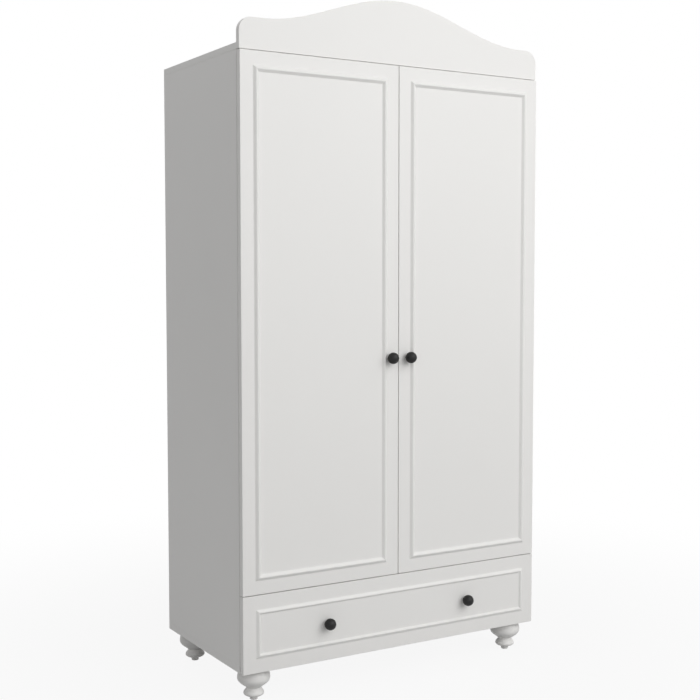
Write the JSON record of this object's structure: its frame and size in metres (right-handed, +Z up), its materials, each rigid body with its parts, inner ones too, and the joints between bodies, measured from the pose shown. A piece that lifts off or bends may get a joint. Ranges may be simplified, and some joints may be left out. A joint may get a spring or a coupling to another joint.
{
  "type": "wardrobe with doors",
  "caption": "White wardrobe with two hinged doors over a full-width drawer, an arched crown board, bead mouldings, round black knobs and turned bun feet.",
  "frame": {"origin": "on the floor under the middle of the wardrobe's own box, knobs included", "axes": "+Z up, +X to the viewer's right when facing the doors, +Y to the back; the doors and the drawer face -Y"},
  "size_m": [1, 0.556, 1.947],
  "materials": {
    "white_lacquer": "satin white lacquer on board and turned wood",
    "white_hardboard": "thin hardboard with a matt white face",
    "black_lacquer": "satin black lacquer on turned wood",
    "beech": "bare fluted beech",
    "clear_rubber": "soft clear bumper",
    "chrome": "bright chromed tube and sockets",
    "nickel_steel": "nickel-plated pressed steel",
    "zinc_steel": "bright zinc-plated steel"
  },
  "bodies": {
    "carcass": {"left_side_panel": "white_lacquer", "right_side_panel": "white_lacquer", "top_panel": "white_lacquer", "base_panel": "white_lacquer", "drawer_divider": "white_lacquer", "hat_shelf": "white_lacquer", "back_panel": "white_hardboard", "crown_board": "white_lacquer", "crown_brackets": "zinc_steel", "hanging_rail": "chrome", "rail_sockets": "chrome", "shelf_pins": "zinc_steel", "front_left_foot": "white_lacquer", "front_right_foot": "white_lacquer", "rear_left_foot": "white_lacquer", "rear_right_foot": "white_lacquer", "foot_studs": "zinc_steel", "foot_nuts": "zinc_steel", "cam_bolts": "zinc_steel", "cam_locks": "zinc_steel", "wood_dowels": "beech", "panel_screws": "zinc_steel", "back_nails": "zinc_steel", "hinge_plates": "nickel_steel", "hinge_arms": "nickel_steel", "hinge_arm_screws": "zinc_steel", "left_slide_outer": "zinc_steel", "right_slide_outer": "zinc_steel"},
    "left_door": {"left_door_panel": "white_lacquer", "left_door_moulding": "white_lacquer", "left_door_knob": "black_lacquer", "left_knob_screw": "zinc_steel", "left_hinge_cups": "nickel_steel", "left_cup_screws": "zinc_steel", "left_door_buffers": "clear_rubber"},
    "right_door": {"right_door_panel": "white_lacquer", "right_door_moulding": "white_lacquer", "right_door_knob": "black_lacquer", "right_knob_screw": "zinc_steel", "right_hinge_cups": "nickel_steel", "right_cup_screws": "zinc_steel", "right_door_buffers": "clear_rubber"},
    "drawer": {"drawer_front": "white_lacquer", "drawer_moulding": "white_lacquer", "left_drawer_side": "white_lacquer", "right_drawer_side": "white_lacquer", "drawer_back": "white_lacquer", "drawer_bottom": "white_hardboard", "left_drawer_knob": "black_lacquer", "right_drawer_knob": "black_lacquer", "drawer_knob_screws": "zinc_steel", "left_slide_inner": "zinc_steel", "right_slide_inner": "zinc_steel", "drawer_screws": "zinc_steel", "drawer_cam_bolts": "zinc_steel", "drawer_cam_locks": "zinc_steel"},
    "left_slide_middle": {"left_slide_middle": "zinc_steel"},
    "right_slide_middle": {"right_slide_middle": "zinc_steel"}
  },
  "joints": [
    {"name": "left_door_hinge", "type": "hinge", "parent": "carcass", "child": "left_door", "pos_m": [-0.492, -0.233, 1.0375], "axis": [0, 0, -1], "range_deg": [0, 105]},
    {"name": "right_door_hinge", "type": "hinge", "parent": "carcass", "child": "right_door", "pos_m": [0.492, -0.233, 1.0375], "axis": [0, 0, 1], "range_deg": [0, 105]},
    {"name": "drawer_slide", "type": "slide", "parent": "carcass", "child": "drawer", "axis": [0, -1, 0], "range_m": [0, 0.44]},
    {"name": "left_middle_slide", "type": "slide", "parent": "carcass", "child": "left_slide_middle", "axis": [0, -1, 0], "range_m": [0, 0.22]},
    {"name": "right_middle_slide", "type": "slide", "parent": "carcass", "child": "right_slide_middle", "axis": [0, -1, 0], "range_m": [0, 0.22]}
  ],
  "couplings": [
    {"joint": "left_middle_slide", "follows": "drawer_slide", "ratio": 0.5},
    {"joint": "right_middle_slide", "follows": "drawer_slide", "ratio": 0.5}
  ]
}
